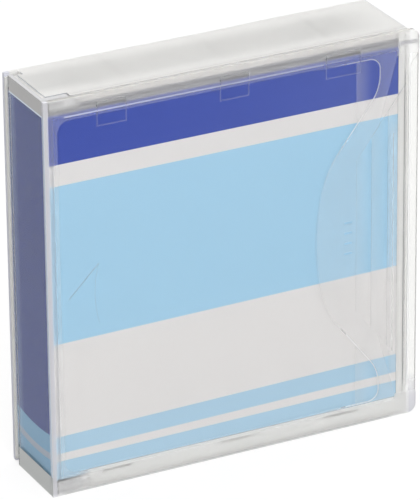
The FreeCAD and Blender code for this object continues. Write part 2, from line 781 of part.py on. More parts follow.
def tab_rail():
    """The rail behind the write-protect tab, which keeps it against the rear wall."""
    _, _, _, _, z0, z1 = tab_window()
    x1 = cart_x1 - shell_wall - 2 * slide_gap - tab_body_wall
    return box(x1 - tab_rail_wall, x1, split_y + tab_window_from_split, lower_inner + shell_wall / 2,
               z0 - tab_rail_wall, z1 + tab_rail_wall)


def chip_frame(shape):
    """Turns a shape built round the origin by 45 degrees and sets it in the lower side corner."""
    half = (chip_wide / 2 + chip_wall / 2) * sin(radians(45))
    shape.rotate(V(0, 0, 0), V(1, 0, 0), 45)
    middle_x = cart_x1 - chip_from_rear - chip_long / 2
    shape.translate(V(middle_x, lower_inner - half, cart_z0 + shell_wall + half))
    return shape


def chip_ribs():
    """A rib at each end of the memory chip's board, from the floor to the side wall."""
    high = (chip_wide + 2 * chip_wall) * sin(radians(45)) + part_gap
    y, z = lower_inner + shell_wall / 2, cart_z0 + shell_wall / 2
    ribs = []
    for x in (cart_x1 - chip_from_rear, cart_x1 - chip_from_rear - chip_long - chip_rib_wall):
        corners = [V(x, y, z), V(x, y - high - shell_wall / 2, z), V(x, y, z + high + shell_wall / 2)]
        face = Part.Face(Part.makePolygon(corners + corners[:1]))
        ribs.append(face.extrude(V(chip_rib_wall, 0, 0)))
    return ribs


def lower_shell():
    y0, y1 = split_y, cart_y1
    shell = shell_body(y0, y1, y1)
    adds = notch_backs(y0, y1 - shell_edge) + [door_block(y0, y1 - shell_edge), tab_rail()] + chip_ribs()
    for x, z in post_places():
        adds.append(flat_rod_y(post_r, x, z, y0, y1 - shell_wall / 2))
    adds.append(pin_cup(lower_inner - cup_deep, y1 - shell_wall / 2))
    post_x, post_z = clip_post_place()
    adds.append(flat_rod_y(clip_post_r, post_x, post_z, y0, y1 - shell_wall / 2))
    shell = shell.fuse(adds)
    cuts = side_details(y0, y1) + door_cuts()
    cuts.append(rod_y(hub_window_r, reel_x, reel_z, lower_inner - shell_wall, y1))
    for x, z in post_places():
        cuts.append(flat_rod_y(screw_r + slide_gap, x, z, y0, y1))
        cuts.append(flat_rod_y(screw_head_r + slide_gap, x, z, y1 - screw_head_deep, y1,
                               head_side_count))
    cuts.append(box(*tab_window()))
    cuts.append(box(cart_x1 - label_deep, cart_x1 + over, y0, y0 + label_deep,
                    cart_z0 + label_margin, cart_z1 - label_margin))
    guide = guide_notch
    cuts.append(box(cart_x0 - over, cart_x0 + guide, y1 - guide, y1 + over,
                    cart_z0 - over, cart_z0 + guide))
    fill = box(cart_x0 + shell_wall / 2, cart_x0 + guide + shell_wall, y1 - guide - shell_wall,
               y1 - shell_wall / 2, cart_z0 + shell_wall / 2, cart_z0 + guide + shell_wall)
    return clean(shell.fuse(fill).cut(cuts))


def case_screws():
    screws = []
    for x, z in post_places():
        head = flat_rod_y(screw_head_r, x, z, cart_y1 - screw_head_deep, cart_y1 - slide_gap,
                          head_side_count)
        shank = flat_rod_y(screw_r - screw_play, x, z, split_y - screw_bite + part_gap,
                           cart_y1 - screw_head_deep)
        screws.append(clean(head.fuse(shank)))
    return Part.makeCompound(screws)


# ---------------------------------------------------------------- the reel and its brake
def leg_places():
    turns = [radians(90 + 120 * number) for number in range(3)]
    return [(reel_x + pad_leg_at * cos(turn), reel_z + pad_leg_at * sin(turn)) for turn in turns]


def leg_holes(y0, y1):
    return [flat_rod_y(pad_leg_r + pad_leg_play, x, z, y0, y1) for x, z in leg_places()]


def reel_hub():
    """Hub and lower flange in one moulding: drive teeth below its floor, brake teeth above."""
    wall = ring_y(hub_r, hub_bore_r, reel_x, reel_z, flange_y0 + flange_wall, low_flange_y1)
    flange = ring_y(flange_r, hub_bore_r, reel_x, reel_z, low_flange_y0, low_flange_y1)
    floor = rod_y(drive_ring_out_r, reel_x, reel_z, low_flange_y0, hub_floor_y1)
    drive = face_teeth(drive_ring_in_r + drive_tooth_inset, drive_ring_out_r - drive_tooth_inset,
                       drive_tooth_count, hub_floor_y1, drive_tooth_high, 1, 0.8)
    brake = face_teeth(brake_ring_in_r, brake_ring_out_r, brake_tooth_count, low_flange_y0,
                       brake_tooth_high, -1, 0.5)
    hub = wall.fuse([flange, floor] + drive + brake)
    return clean(hub.cut(leg_holes(low_flange_y0, hub_floor_y1)))


def reel_upper_flange():
    return ring_y(flange_r, hub_bore_r, reel_x, reel_z, flange_y0, flange_y0 + flange_wall)


def tape_pack():
    return ring_y(tape_outer_r, hub_r, reel_x, reel_z, tape_y0, tape_y1)


def chucking_plate():
    """The steel ring in the hub's underside that the drive's magnet pulls on."""
    plate = ring_y(plate_out_r, plate_in_r, reel_x, reel_z, hub_floor_y1, plate_y1)
    return plate.cut(leg_holes(hub_floor_y1, plate_y1))


def release_pad():
    """A round pad with three legs that a drive pushes up through the hub's floor."""
    pad = rod_y(pad_r, reel_x, reel_z, pad_y0, pad_y1)
    adds = []
    for x, z in leg_places():
        adds.append(flat_rod_y(pad_leg_r, x, z, pad_y0, plate_y1 - plate_wall / 2))
        turn = atan2(z - reel_z, x - reel_x)
        arm = box(0, pad_leg_at, pad_y0, pad_y1, -pad_leg_r / 2, pad_leg_r / 2)
        arm.rotate(V(0, 0, 0), V(0, 1, 0), -degrees(turn))
        arm.translate(V(reel_x, 0, reel_z))
        adds.append(arm)
    return clean(pad.fuse(adds))


def brake_button():
    """The brake: a disc with teeth below, and a keyed tube above that slides on the shell's cross."""
    disc = rod_y(brake_disc_r, reel_x, reel_z, brake_y0, brake_y1)
    tube_y0 = brake_y0 - brake_tube_long
    half_tube = brake_tube_r * sin(radians(45))
    tube = box(reel_x - half_tube, reel_x + half_tube, tube_y0, brake_y0,
               reel_z - half_tube, reel_z + half_tube)
    teeth = face_teeth(brake_ring_in_r, brake_ring_out_r, brake_tooth_count, brake_y1,
                       brake_tooth_high - tooth_play, 1, 0.4)
    half_pitch = degrees(pi / brake_tooth_count)
    for tooth in teeth:
        tooth.rotate(V(reel_x, 0, reel_z), V(0, 1, 0), half_pitch)
    body = disc.fuse([tube] + teeth)
    arm = key_arm + slide_gap
    half = key_wall / 2 + slide_gap
    slots = [box(reel_x - arm, reel_x + arm, tube_y0, brake_y0, reel_z - half, reel_z + half),
             box(reel_x - half, reel_x + half, tube_y0, brake_y0, reel_z - arm, reel_z + arm)]
    return clean(body.cut(slots))


def brake_spring():
    start = V(reel_x, upper_inner, reel_z)
    coil_r = brake_tube_r + part_gap + key_wall / 2
    return spring(coil_r, key_wall / 4, brake_y0 - start.y, brake_spring_turn_count, start, V(0, 1, 0))


# ---------------------------------------------------------------- door, leader pin, tab, chip
def access_door():
    plate = box(door_x0, door_x1, door_y0, door_y1, door_z0, door_z1)
    lap = door_lip_lap + slide_gap
    ridge_y0, ridge_y1 = door_y0 + lap, door_y1 - lap
    panel = box(door_x0, door_x1, ridge_y0, ridge_y1, door_z1, cart_z1 - door_lip / 2)
    finger_grooves = []
    for number in range(3):
        x = door_x0 + door_ridge_inset * (number + 1)
        finger_grooves.append(box(x, x + door_ridge_inset / 2, ridge_y0 + lap, ridge_y1 - lap,
                                  door_z1, cart_z1))
    lug_half = door_spring_r
    lug = box(door_x1 - shell_wall + slide_gap, door_x1, split_y - lug_half, split_y + lug_half,
              channel_z - lug_half, door_z0)
    return clean(plate.fuse([panel, lug]).cut(finger_grooves))


def door_spring():
    start = V(door_x1, split_y, channel_z - slide_gap)
    length = door_travel + slide_gap
    return spring(door_spring_r, door_spring_wire_r, length, door_spring_turn_count, start, V(1, 0, 0))


def leader_pin():
    y0, y1 = upper_inner + pin_end_gap, lower_inner - pin_end_gap
    shank = rod_y(pin_r, pin_x, pin_z, y0, y1)
    collars = [rod_y(pin_collar_r, pin_x, pin_z, y0, y0 + pin_collar_long),
               rod_y(pin_collar_r, pin_x, pin_z, y1 - pin_collar_long, y1)]
    return clean(shank.fuse(collars))


def leader_line():
    """The straight run of tape from the pin's far side to the pack: two points (x, z)."""
    pack_r = tape_outer_r + part_gap
    away = sqrt((pin_x - reel_x) ** 2 + (pin_z - reel_z) ** 2)
    turn = atan2(pin_z - reel_z, pin_x - reel_x) + acos(pack_r / away)
    return (pin_x, pin_z), (reel_x + pack_r * cos(turn), reel_z + pack_r * sin(turn))


def leader_strip(thick, start_from_pin, y0, y1):
    (x0, z0), (x1, z1) = leader_line()
    long = sqrt((x1 - x0) ** 2 + (z1 - z0) ** 2)
    strip = box(start_from_pin, long, y0, y1, -thick / 2, thick / 2)
    strip.rotate(V(0, 0, 0), V(0, 1, 0), -degrees(atan2(z1 - z0, x1 - x0)))
    strip.translate(V(x0, 0, z0))
    return strip


def tape_leader():
    """The stretch of tape that runs from the leader pin to the pack."""
    return leader_strip(leader_thick, pin_r, tape_y0, tape_y1)


def leader_clamp():
    """The split sleeve that clips the tape's end on the pin."""
    sleeve = ring_y(pin_r + clamp_wall, pin_r, pin_x, pin_z, tape_y0, tape_y1)
    return sleeve.cut(leader_strip(leader_thick, 0, tape_y0, tape_y1))


def pin_clip():
    """The bent wire clip: a back run beside the post and an arm past each end of the pin."""
    y0 = upper_inner + clip_wire_r + pin_end_gap
    y1 = lower_inner - clip_wire_r - pin_end_gap
    route = clip_route()
    points = [V(x, y0, z) for x, z in reversed(route)] + [V(x, y1, z) for x, z in route]
    return wire_along(points, clip_wire_r)


def write_protect_tab():
    _, _, y0, y1, z0, _ = tab_window()
    far_x = cart_x1 - shell_wall - slide_gap
    near_x = far_x - tab_body_wall
    long = tab_window_long - tab_travel - 2 * slide_gap
    low = z0 + slide_gap
    slider = box(near_x, far_x, y0 + slide_gap, lower_inner - slide_gap, low, low + long)
    face = box(far_x, cart_x1 - label_deep, y0 + slide_gap, y1 - slide_gap, low, low + long)
    ridge_z = low + long / 2
    ridge = box(cart_x1 - label_deep, cart_x1, y0 + 4 * slide_gap, y1 - 4 * slide_gap,
                ridge_z - slide_gap * 2, ridge_z + slide_gap * 2)
    return clean(slider.fuse([face, ridge]))


def memory_chip():
    """The small board in the corner, with its chip moulded on."""
    board = box(-chip_long / 2, chip_long / 2, -chip_wall / 2, chip_wall / 2,
                -chip_wide / 2, chip_wide / 2)
    half = chip_wide / 4
    blob = box(-half, half, -chip_wall, -chip_wall / 2, -half, half)
    return chip_frame(clean(board.fuse(blob)))


# ---------------------------------------------------------------- writing the pieces
PIECES = {
    "case_tray": case_tray,
    "case_lid": case_lid,
    "inlay_card": inlay_card,
    "upper_shell": upper_shell,
    "lower_shell": lower_shell,
    "case_screws": case_screws,
    "reel_hub": reel_hub,
    "reel_upper_flange": reel_upper_flange,
    "tape_pack": tape_pack,
    "chucking_plate": chucking_plate,
    "release_pad": release_pad,
    "brake_button": brake_button,
    "brake_spring": brake_spring,
    "access_door": access_door,
    "door_spring": door_spring,
    "leader_pin": leader_pin,
    "leader_pin_clamp": leader_clamp,
    "leader_pin_clip": pin_clip,
    "tape_leader": tape_leader,
    "write_protect_tab": write_protect_tab,
    "memory_chip": memory_chip,
}

os.makedirs("parts", exist_ok=True)
to_origin = V(-overall_width / 2, -case_depth / 2, 0)
for name, make in PIECES.items():
    piece = make()
    piece.translate(to_origin)
    piece.exportStep(os.path.join("parts", name + ".step"))
    sizes = piece.BoundBox
    print("%-18s %d solid(s) %9.2f mm3  valid %s  z %.2f to %.2f" % (
        name, len(piece.Solids), piece.Volume, piece.isValid(), sizes.ZMin, sizes.ZMax))
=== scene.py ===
# A data tape cartridge in its hinged clear storage case, dressed with its materials: the lid's
# clear and the tray's milky plastic, the printed card, and the plastics, steel, tape and board
# inside. It stands on a pale floor under a white sky, with one soft lamp in front. Nothing is
# added to the object's own shape.

import json

import bpy
from mathutils import Matrix, Vector


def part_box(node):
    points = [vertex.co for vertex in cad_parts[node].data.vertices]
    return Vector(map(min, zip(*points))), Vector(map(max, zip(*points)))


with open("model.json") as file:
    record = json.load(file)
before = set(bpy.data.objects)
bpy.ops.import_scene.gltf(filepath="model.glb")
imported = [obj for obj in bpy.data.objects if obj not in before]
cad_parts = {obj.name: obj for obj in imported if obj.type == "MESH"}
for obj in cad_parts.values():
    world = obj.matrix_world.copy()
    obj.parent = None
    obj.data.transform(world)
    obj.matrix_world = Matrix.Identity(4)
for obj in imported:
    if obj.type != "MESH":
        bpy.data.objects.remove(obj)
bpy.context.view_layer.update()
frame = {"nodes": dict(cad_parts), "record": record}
nodes = frame["nodes"]
MM = 0.001

# the light, where 1 is white
SKY_LEVEL = 1.0            # the sky's light on the object
LEFT_SHADE = 0.25          # how much weaker the sky's light is from the spine's side
FLOOR_TONE = 0.32          # the floor's own grey
FLOOR_SKY_SHARE = 0.95     # how much of the sky's light reaches the open floor
GLOSS_SHARE = 0.1          # how much of the floor's white shows in reflections

# the object's sizes that the materials follow, in millimetres
TRAY_WALL = 1.2
SPINE_WALL = 1.2
CARD_WALL = 0.2
PANE_WALL = 1.3
FRAME_STEP = 0.06          # from here to TERRACES, how deep the pane's flat faces lie in it
DIP_BAND = 0.075
WINDOW_LEDGE = 0.11
WINDOW = 0.15
FINE_LINE = 0.21
LIP_GROOVE = 0.25
TERRACES = (0.15, 0.30, 0.45)
TERRACE_RUNS = (4.7, 5.0, 4.5)   # how far the shade on each terrace runs towards the lip
RECESS_INSET = 18.8        # from the lip's free edge to the finger recess's first terrace
EARS_END = 11.0            # the hinge's ears end before this distance from the spine's face
SOFT = 0.06                # how wide the edge of a zone is
DEPTH_SOFT = 0.004         # the same where zones are told apart by depth


# ---------------------------------------------------------------- places, from the frame
def box_mm(node):
    """A node's lowest and highest corners in millimetres."""
    low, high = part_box(node)
    return low / MM, high / MM


lid_low, lid_high = box_mm("case_lid")
tray_low, tray_high = box_mm("case_tray")
card_low, card_high = box_mm("inlay_card")


# ---------------------------------------------------------------- camera
def add_camera():
    """A long lens from the front, to the left of the case and a little above it."""
    spot = Vector((-500.2, -986.7, 556.5)) * MM
    look = Vector((0.41091, 0.81292, -0.41270)).normalized()
    level = Vector((0.89057, -0.45475, -0.00905)).normalized()
    up = level.cross(look).normalized()
    data = bpy.data.cameras.new("camera")
    data.lens = 327.3
    data.sensor_width = 36
    data.clip_start, data.clip_end = 0.01, 20
    camera = bpy.data.objects.new("camera", data)
    bpy.context.scene.collection.objects.link(camera)
    turn = Matrix((level, up, -look)).transposed()
    camera.matrix_world = Matrix.Translation(spot) @ turn.to_4x4()
    bpy.context.scene.camera = camera


# ---------------------------------------------------------------- node helpers
def new_material(name):
    """A material with a plain principled shader, its node tree and the shader."""
    material = bpy.data.materials.new(name)
    material.use_nodes = True
    tree = material.node_tree
    tree.nodes.clear()
    output = tree.nodes.new("ShaderNodeOutputMaterial")
    shader = tree.nodes.new("ShaderNodeBsdfPrincipled")
    tree.links.new(shader.outputs["BSDF"], output.inputs["Surface"])
    return material, tree, shader


def math_node(tree, operation, a, b=None, clamp=False):
    """One sum on plain numbers or on other nodes' outputs."""
    node = tree.nodes.new("ShaderNodeMath")
    node.operation = operation
    node.use_clamp = clamp
    for number, value in enumerate((a, b)):
        if value is None:
            continue
        if isinstance(value, (int, float)):
            node.inputs[number].default_value = value
        else:
            tree.links.new(value, node.inputs[number])
    return node.outputs[0]


def either(tree, share, *others):
    """The largest of the shares: 1 where any of them is."""
    for other in others:
        share = math_node(tree, "MAXIMUM", share, other)
    return share


def both(tree, share, *others):
    """The product of the shares: 1 only where all of them are."""
    for other in others:
        share = math_node(tree, "MULTIPLY", share, other)
    return share


def opposite(tree, share):
    """What a share leaves of 1."""
    return math_node(tree, "SUBTRACT", 1.0, share)


def above(tree, value, low, soft=SOFT):
    """0 up to low, and from there rising to 1 over the width of soft."""
    return math_node(tree, "DIVIDE", math_node(tree, "SUBTRACT", value, low), soft, clamp=True)


def below(tree, value, high, soft=SOFT):
    """0 from high on, and before it falling from 1 over the width of soft."""
    return math_node(tree, "DIVIDE", math_node(tree, "SUBTRACT", high, value), soft, clamp=True)


def between(tree, value, low, high, soft=SOFT):
    """1 where value lies between low and high, 0 outside, with soft edges."""
    return both(tree, above(tree, value, low, soft), below(tree, value, high, soft))


def weighted(tree, base, parts):
    """base plus each part's share times its weight, and never below 0."""
    total = base
    for share, weight in parts:
        if weight:
            total = math_node(tree, "ADD", total, math_node(tree, "MULTIPLY", share, weight))
    return math_node(tree, "MAXIMUM", total, 0.0)


def split(tree, vector):
    """A vector's x, y and z."""
    node = tree.nodes.new("ShaderNodeSeparateXYZ")
    tree.links.new(vector, node.inputs[0])
    return node.outputs["X"], node.outputs["Y"], node.outputs["Z"]


def object_place(tree):
    """Where a point of the object lies, in metres."""
    return tree.nodes.new("ShaderNodeTexCoord").outputs["Object"]


def object_axes(tree):
    """Where a point of the object lies: its x, y and z in millimetres."""
    node = tree.nodes.new("ShaderNodeVectorMath")
    node.operation = "SCALE"
    node.inputs["Scale"].default_value = 1 / MM
    tree.links.new(object_place(tree), node.inputs[0])
    return split(tree, node.outputs[0])


def mix_color(tree, share, a, b):
    """Colour a, with colour b over it by that share."""
    node = tree.nodes.new("ShaderNodeMix")
    node.data_type = "RGBA"
    for socket, value in ((node.inputs[0], share), (node.inputs[6], a), (node.inputs[7], b)):
        if isinstance(value, (int, float)):
            socket.default_value = value
        elif isinstance(value, tuple):
            socket.default_value = value if len(value) == 4 else (*value, 1)
        else:
            tree.links.new(value, socket)
    return node.outputs[2]


def layered(tree, color, layers):
    """A colour under layers of (share, tone), each over those before it."""
    for share, tone in layers:
        color = mix_color(tree, share, color, tone)
    return color


def srgb(red, green, blue):
    """A colour written as 0-255 sRGB, as the linear values that Blender uses."""
    def linear(value):
        value /= 255
        return value / 12.92 if value <= 0.04045 else ((value + 0.055) / 1.055) ** 2.4
    return tuple(linear(v) for v in (red, green, blue))


def tinted(color, factor):
    """A lighter or darker tone of a colour."""
    return tuple(min(1.0, c * factor) for c in color)


def noise(tree, scale, detail, roughness=0.5, vector=None):
    """Noise over the object, with scale as its cells per metre, or over another vector."""
    if vector is None:
        vector = object_place(tree)
    node = tree.nodes.new("ShaderNodeTexNoise")
    node.inputs["Scale"].default_value = scale
    node.inputs["Detail"].default_value = detail
    node.inputs["Roughness"].default_value = roughness
    tree.links.new(vector, node.inputs["Vector"])
    return node.outputs["Fac"]


def bump(tree, shader, height, strength, distance):
    """A fine relief in the shader, distance being its depth in metres."""
    node = tree.nodes.new("ShaderNodeBump")
    node.inputs["Strength"].default_value = strength
    node.inputs["Distance"].default_value = distance
    tree.links.new(height, node.inputs["Height"])
    tree.links.new(node.outputs["Normal"], shader.inputs["Normal"])


# ---------------------------------------------------------------- the lid's clear plastic
class LidPlace:
    """Where a point of the lid lies: its x, its height z and its depth behind the pane's front."""

    def __init__(self, tree):
        self.tree = tree
        self.x, y, self.z = object_axes(tree)
        self.deep = math_node(tree, "SUBTRACT", y, lid_low.y)

    def at_depth(self, low, high):
        """1 on faces between two depths."""
        return between(self.tree, self.deep, low, high, DEPTH_SOFT)

    def on_flat(self, depth, margin=0.01):
        """1 on a flat face at that depth."""
        return self.at_depth(depth - margin, depth + margin)

    def on_front(self):
        """1 on the pane's front."""
        return self.at_depth(-0.02, 0.03)

    def on_back(self):
        """1 on the pane's back."""
        return self.on_flat(PANE_WALL, 0.03)

    def inside(self):
        """1 on what stands behind the pane's back."""
        return above(self.tree, self.deep, PANE_WALL + 0.06, DEPTH_SOFT)

    def near_ends(self, inset, soft=SOFT):
        """1 within inset of the lid's top and foot."""
        return opposite(self.tree, between(self.tree, self.z, inset, lid_high.z - inset, soft))

    def on_lip(self):
        """1 where the pane stands out past the tray."""
        return above(self.tree, self.x, tray_high.x + 0.1)


def terraces(tree, place):
    """The terraces of the finger recess. The shade of each thins out towards the lip."""
    shares = []
    start = lid_high.x - RECESS_INSET
    for depth, length in zip(TERRACES, TERRACE_RUNS):
        run = math_node(tree, "DIVIDE", math_node(tree, "SUBTRACT", place.x, start), length)
        shares.append(both(tree, place.on_flat(depth), between(tree, run, -0.02, 1.05, 0.02),
                           opposite(tree, run)))
        start += length
    return either(tree, *shares)


def front_zones(tree, place):
    """Shares of the pane's outer side."""
    x, z, left, top = place.x, place.z, lid_low.x, lid_high.z
    front = place.on_front()
    border, border_left = 6.7, 4.0
    around_window = either(tree, place.near_ends(border), below(tree, x, left + border_left))

    flats = {FRAME_STEP, DIP_BAND, WINDOW_LEDGE, WINDOW, FINE_LINE, LIP_GROOVE, *TERRACES}
    on_flats = either(tree, *[place.on_flat(depth, 0.006) for depth in sorted(flats)])

    fine_lines = place.on_flat(FINE_LINE)
    top_line = both(tree, between(tree, z, top - 5.35, top - 4.8),
                    between(tree, x, left + 5.7, left + 89))
    from_left = math_node(tree, "SUBTRACT", x, left)
    rightward = math_node(tree, "DIVIDE", from_left, lid_high.x - left, clamp=True)

    at_card_end = both(tree, between(tree, z, 8, top - 24, 5),
                       between(tree, x, card_high.x - 3, card_high.x + 0.5, 3))
    return {
        "frost": both(tree, front, around_window),
        "haze": place.at_depth(0.05, 0.085),
        "walls": both(tree, place.at_depth(0.008, 0.48), opposite(tree, on_flats)),
        "ledge": both(tree, place.on_flat(WINDOW_LEDGE), above(tree, x, left + 78, 12)),
        "groove": fine_lines,
        "step": both(tree, either(tree, fine_lines, front), top_line,
                     opposite(tree, both(tree, rightward, 0.75))),
        "terraces": terraces(tree, place),
        # painted shade: a grey along the front's lowest edge, where it turns away from the light
        "sill": both(tree, front, below(tree, z, 0.75, 0.2),
                     between(tree, x, left + 1.3, tray_high.x - 4, 3)),
        "card_end": both(tree, place.at_depth(-0.02, 0.48), at_card_end),
    }


def back_zones(tree, place):
    """Shares of the pane's back and of the hooks on it."""
    x, z, left = place.x, place.z, lid_low.x
    back = place.on_back()
    ends = 5.0
    hooks = both(tree, place.inside(), above(tree, x, left + EARS_END))
    beside_card = between(tree, x, card_high.x + 0.02, tray_high.x - 1.55)
    below_card = both(tree, between(tree, z, 0.2, card_low.z + 1.3, 0.35),
                      above(tree, x, left + 7, 5), below(tree, x, tray_high.x - 0.3))
    return {
        "back_ends": both(tree, back, place.near_ends(ends)),
        "margin": both(tree, back, either(tree, beside_card, below_card)),
        # painted shade: a grey on the pane's back above the card, for the shaded gap behind it
        "top_gap": both(tree, back, between(tree, z, card_high.z - 0.2, card_high.z + 1.2, 0.2)),
        "hooks": hooks,
        "low_hooks": both(tree, hooks, below(tree, z, 9)),
    }


def edge_zones(tree, place):
    """Shares of the pane's narrow edges and of the lip."""
    lip = place.on_lip()
    return {
        "rim": both(tree, place.near_ends(0.02, 0.005), place.at_depth(-1, PANE_WALL + 0.05)),
        "lip": lip,
        "lip_foot": both(tree, lip, below(tree, place.z, 12, 8)),
        "lip_edge": above(tree, place.x, lid_high.x - 0.02, 0.005),
    }


def spine_zones(tree, place):
    """Shares of the spine wall and of the hinge's ears."""
    x, z, left, top = place.x, place.z, lid_low.x, lid_high.z
    outer = below(tree, x, left + 0.02, 0.005)
    ends_reach = 21.2
    past_card = opposite(tree, between(tree, z, 5.6, top - 4.4, 0.2))
    ear = both(tree, place.inside(), place.near_ends(3.2),
               between(tree, x, left + 0.05, left + EARS_END))
    ear_heights = either(tree, above(tree, z, top - 3, 0.3), below(tree, z, card_low.z))
    return {
        # painted shade: a mid grey above and below the card's spine, for the shade seen through the
        # spine wall
        "spine_ends": both(tree, outer, place.at_depth(SPINE_WALL, ends_reach), past_card),
        "spine_front": both(tree, below(tree, x, left + SPINE_WALL + 0.1),
                            place.at_depth(-1, SPINE_WALL)),
        "spine_wall": both(tree, outer, between(tree, z, 4, top - 4)),
        "foot": both(tree, outer, below(tree, z, 5.8)),
        "ear": ear,
        # painted shade: the ears' top and foot faces in grey, a darker copy of their pale plastic
        "ear_top": both(tree, ear, place.near_ends(0.5, 0.02)),
        "ear_front": both(tree, place.on_front(), ear_heights,
                          between(tree, x, left + 1.3, left + 10.4, 0.5)),
    }


# Each zone's look: how much less clear and how much rougher it is than the polished window, and
# its tone where it has one. Some tones are the plastic's own, and the greys of the shaded zones are
# painted shade. A tone lies over those of the rows above it.
LID_LOOKS = (
    ("frost", 0.13, 0.33, None),
    ("back_ends", 0, 0.35, None),
    ("haze", 0.12, 0.15, None),                       # the shallow steps round the window
    ("walls", 0.42, 0.3, None),                       # between two flat faces of the pane
    ("ledge", 0.35, 0.3, None),
    ("groove", 0.1, 0.1, None),
    ("terraces", 0.15, 0, None),
    ("card_end", 0.5, 0.15, None),                    # in front of the card's free edge
    ("hooks", 0.15, 0.2, None),
    ("ear_front", 0.3, 0, None),
    ("rim", 0.25, 0.4, srgb(240, 238, 233)),          # the pane's top edge and foot
    ("margin", 0.92, 0.35, (1.0, 1.0, 0.975)),        # beside and below the card
    # painted shade: grey along the front's lowest edge
    ("sill", 0.4, 0, (0.66, 0.66, 0.66)),             # along the front's lowest edge
    ("low_hooks", 0.7, 0, (1.0, 1.0, 0.97)),
    ("lip_edge", 0.9, 0, (1.0, 1.0, 1.0)),
    ("lip", 0.17, 0, (0.98, 0.98, 0.965)),
    # painted shade: mid grey above and below the card's spine
    ("spine_ends", 0.9, 0.4, (0.6, 0.595, 0.59)),     # above and below the card's spine
    ("spine_front", 0.5, 0.3, srgb(240, 240, 245)),
    ("spine_wall", 0, 0, (0.82, 0.9, 1.0)),
    ("ear", 0.96, 0.3, (0.98, 0.98, 0.98)),
    # painted shade: grey on the ears' top and foot faces
    ("ear_top", 0, 0, (0.62, 0.62, 0.63)),
    # painted shade: grey above the card, for the shaded gap
    ("top_gap", 0.6, 0, (0.62, 0.62, 0.65)),          # above the card
    ("lip_foot", 0.3, 0, (0.84, 0.84, 0.88)),
    ("foot", 0, 0, (0.7, 0.715, 0.705)),              # of the spine wall
    ("step", 0.7, 0.35, (0.74, 0.77, 1.0)),           # the fine line under the pane's top edge
)


def lid_plastic():
    """Clear styrene with a polished window, a hazy frame round it and a frosted outer edge."""
    material, tree, shader = new_material("lid_plastic")
    place = LidPlace(tree)
    zones = {}
    for find_zones in (front_zones, back_zones, edge_zones, spine_zones):
        zones.update(find_zones(tree, place))
    polish = 0.02
    clear = weighted(tree, 1.0, [(zones[name], -less) for name, less, _, _ in LID_LOOKS])
    rough = weighted(tree, polish, [(zones[name], more) for name, _, more, _ in LID_LOOKS])
    color = layered(tree, (1, 1, 1), [(zones[name], tone) for name, _, _, tone in LID_LOOKS if tone])
    tree.links.new(color, shader.inputs["Base Color"])
    tree.links.new(clear, shader.inputs["Transmission Weight"])
    tree.links.new(rough, shader.inputs["Roughness"])
    shader.inputs["IOR"].default_value = 1.42
    shader.inputs["Specular Tint"].default_value = (0.25, 0.25, 0.25, 1)
    return material


# ---------------------------------------------------------------- the tray's milky plastic
def tray_plastic():
    """The same styrene moulded milky. What lies close behind it shades it a little."""
    material, tree, shader = new_material("tray_plastic")
    x, y, z = object_axes(tree)
    left, right, top = tray_low.x, tray_high.x, tray_high.z
    mouth, back = tray_low.y, tray_high.y

    over_cartridge = both(tree, between(tree, y, mouth + 2, back - 2.5, 5),
                          between(tree, x, left + 3, right - 3, 12))
    cloud = noise(tree, 25, 2)

    # the mouth's front edge and thin inner lip, which show through the pane round the card
    front = below(tree, y, mouth + 1)
    strip_start = right - 3.5
    end_strip = both(tree, front, above(tree, x, strip_start))
    # painted shadow: the inner lip in dark grey, as if shaded under the top wall
    inner_lip_shadow = both(tree, front, between(tree, z, 5, top - 2.1, 0.3), below(tree, x, strip_start))
    line_half = 0.22
    # painted shade: grey lines on the front at the end wall's two faces, where the moulded edges turn
    end_shade_lines = either(tree, *[between(tree, x, line - line_half, line + line_half)
                               for line in (right - TRAY_WALL, right)])
    end_shade_lines = both(tree, end_shade_lines, front, between(tree, z, 7, top - 11, 3))

    # the outer top
    on_top = above(tree, z, top - 0.4)
    left_end = both(tree, below(tree, x, lid_low.x + 22, 18), between(tree, y, mouth + 4, back - 3, 4))
    top_front = both(tree, below(tree, y, mouth + 2.5, 3), on_top)
    # painted shade: the low wall of the step on the top in a darker bluish grey
    top_step_shade = both(tree, between(tree, z, top - 0.28, top - 0.02, 0.01), above(tree, y, mouth + 1))

    # the walls' ends round the lid's spine wall
    at_spine = below(tree, x, lid_low.x + 1.6)
    spine_end = lid_high.y
    spine_gap = both(tree, at_spine, between(tree, y, spine_end - 0.7, spine_end + 1.5))
    past_spine = both(tree, at_spine, above(tree, y, spine_end + 1.5))

    color = layered(tree, (0.97, 0.965, 0.945), (
        (front, (0.87, 0.85, 0.82)),
        # painted shadow under the top wall
        (inner_lip_shadow, (0.4, 0.4, 0.42)),
        (end_strip, (0.99, 0.99, 0.97)),
        # painted shade at the end wall's edges
        (end_shade_lines, (0.66, 0.66, 0.66)),
        (both(tree, left_end, on_top, 0.6), (0.7, 0.7, 0.69)),
        (top_front, (0.62, 0.62, 0.61)),
        # painted shade on the step's wall
        (top_step_shade, (0.62, 0.64, 0.7)),
        (spine_gap, (1.0, 1.0, 0.95)),
        (past_spine, (0.84, 0.85, 0.93)),
    ))
    clear = weighted(tree, 0.34, ((over_cartridge, 0.2), (cloud, 0.05), (front, -0.32)))
    tree.links.new(color, shader.inputs["Base Color"])
    tree.links.new(clear, shader.inputs["Transmission Weight"])
    shader.inputs["Roughness"].default_value = 0.42
    shader.inputs["IOR"].default_value = 1.46
    return material


